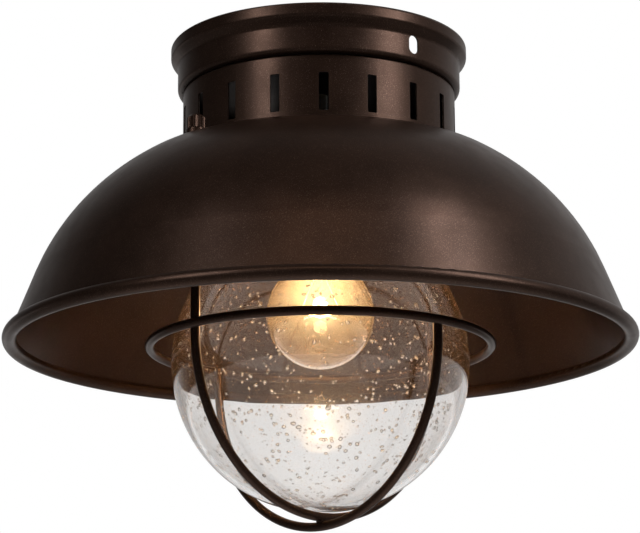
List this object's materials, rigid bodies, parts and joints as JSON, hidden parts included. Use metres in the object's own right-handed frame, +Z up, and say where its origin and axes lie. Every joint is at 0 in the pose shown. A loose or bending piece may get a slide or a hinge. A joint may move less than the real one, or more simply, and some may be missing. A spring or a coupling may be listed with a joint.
{
  "type": "porch ceiling lantern",
  "caption": "Ceiling lantern with a domed bronze shade on a vented collar, a seeded glass globe in a wire guard, and a screw-in lamp.",
  "frame": {"origin": "centre of the canopy's top in the ceiling plane, the middle of the mounting strap's screw slots", "axes": "+Z up into the ceiling, -Y towards the front, +X to the right seen from the front; the strap lies along Y"},
  "size_m": [0.35, 0.35, 0.2738],
  "materials": {
    "bronze_paint": "satin dark bronze powder coat with a fine metallic fleck",
    "zinc_steel": "zinc plated",
    "green_screw": "green dyed screw",
    "porcelain": "glazed white porcelain",
    "brass": "plain brass",
    "seeded_glass": "clear blown glass full of small seeds",
    "gasket_rubber": "matt black",
    "bulb_glass": "clear thin glass",
    "lamp_cap_metal": "bare metal",
    "black_insulator": "glossy black",
    "solder": "dull solder",
    "stem_glass": "clear glass",
    "tungsten": "glowing filament",
    "lead_wire": "nickel wire"
  },
  "bodies": {
    "fixture": {"canopy": "bronze_paint", "mounting_strap": "zinc_steel", "ground_screw": "green_screw", "nipple": "zinc_steel", "strap_nut": "zinc_steel", "canopy_lock_washer": "zinc_steel", "canopy_nut": "zinc_steel", "vented_collar": "bronze_paint", "shade": "bronze_paint", "glass_gasket": "gasket_rubber", "holder_nut": "zinc_steel", "holder_cap": "zinc_steel", "holder_body": "porcelain", "screw_shell": "brass", "centre_contact": "brass", "terminal_screw_right": "brass", "terminal_screw_left": "brass"},
    "guard": {"guard_hoop_long": "bronze_paint", "guard_hoop_short": "bronze_paint", "guard_ring": "bronze_paint", "glass_globe": "seeded_glass"},
    "nut_lift_front": {"stud_washer_front": "bronze_paint"},
    "nut_front": {"thumb_nut_front": "bronze_paint"},
    "nut_lift_back": {"stud_washer_back": "bronze_paint"},
    "nut_back": {"thumb_nut_back": "bronze_paint"},
    "lamp_lift": {"lamp_eyelet": "solder"},
    "lamp": {"bulb_glass": "bulb_glass", "lamp_cap": "lamp_cap_metal", "lamp_insulator": "black_insulator", "lamp_stem": "stem_glass", "filament": "tungsten", "lamp_lead_right": "lead_wire", "lamp_lead_left": "lead_wire"}
  },
  "joints": [
    {"name": "guard_lower", "type": "slide", "parent": "fixture", "child": "guard", "axis": [0, 0, -1], "range_m": [0, 0.16]},
    {"name": "nut_front_rise", "type": "slide", "parent": "fixture", "child": "nut_lift_front", "axis": [0, 0, 1], "range_m": [0, 0.0079]},
    {"name": "nut_front_spin", "type": "hinge", "parent": "nut_lift_front", "child": "nut_front", "pos_m": [-0.06615, -0.06169, -0.06], "axis": [0, 0, 1], "range_deg": [0, 3600]},
    {"name": "nut_back_rise", "type": "slide", "parent": "fixture", "child": "nut_lift_back", "axis": [0, 0, 1], "range_m": [0, 0.0079]},
    {"name": "nut_back_spin", "type": "hinge", "parent": "nut_lift_back", "child": "nut_back", "pos_m": [0.06615, 0.06169, -0.06], "axis": [0, 0, 1], "range_deg": [0, 3600]},
    {"name": "lamp_descent", "type": "slide", "parent": "fixture", "child": "lamp_lift", "axis": [0, 0, -1], "range_m": [0, 0.011]},
    {"name": "lamp_spin", "type": "hinge", "parent": "lamp_lift", "child": "lamp", "pos_m": [0, 0, -0.1], "axis": [0, 0, -1], "range_deg": [0, 1080]}
  ],
  "couplings": [
    {"joint": "nut_front_spin", "follows": "nut_front_rise", "rad_per_m": 7915.3},
    {"joint": "nut_back_spin", "follows": "nut_back_rise", "rad_per_m": 7915.3},
    {"joint": "lamp_descent", "follows": "lamp_spin", "m_per_rad": 0.0005775}
  ]
}
